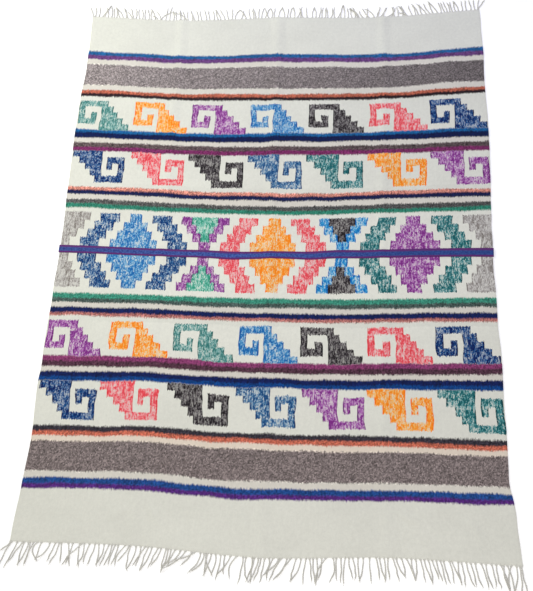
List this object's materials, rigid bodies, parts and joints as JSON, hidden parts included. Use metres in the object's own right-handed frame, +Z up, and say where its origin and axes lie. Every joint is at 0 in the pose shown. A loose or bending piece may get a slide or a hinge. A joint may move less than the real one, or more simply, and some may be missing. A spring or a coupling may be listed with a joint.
{
  "type": "wool blanket",
  "caption": "Flat woven wool blanket with cross stripes, rows of stepped frets, a band of stepped diamonds, a sewn band over its middle and fringed ends.",
  "frame": {"origin": "on the floor under the middle of the blanket with its fringe", "axes": "+Y along the blanket towards its far end, +X across it to the right as seen from the near end, +Z up off the face that shows"},
  "size_m": [1.5241, 2.1186, 0.0083],
  "materials": {
    "wool_cloth": "brushed wool, cream ground with coloured cross stripes and stepped motifs",
    "band_yarn": "close smooth wool band, blue with purple edges",
    "warp_yarn": "undyed twisted warp ends"
  },
  "bodies": {
    "root": {"blanket_cloth": "wool_cloth", "middle_band": "band_yarn", "fringe_near": "warp_yarn", "fringe_far": "warp_yarn"}
  },
  "joints": []
}
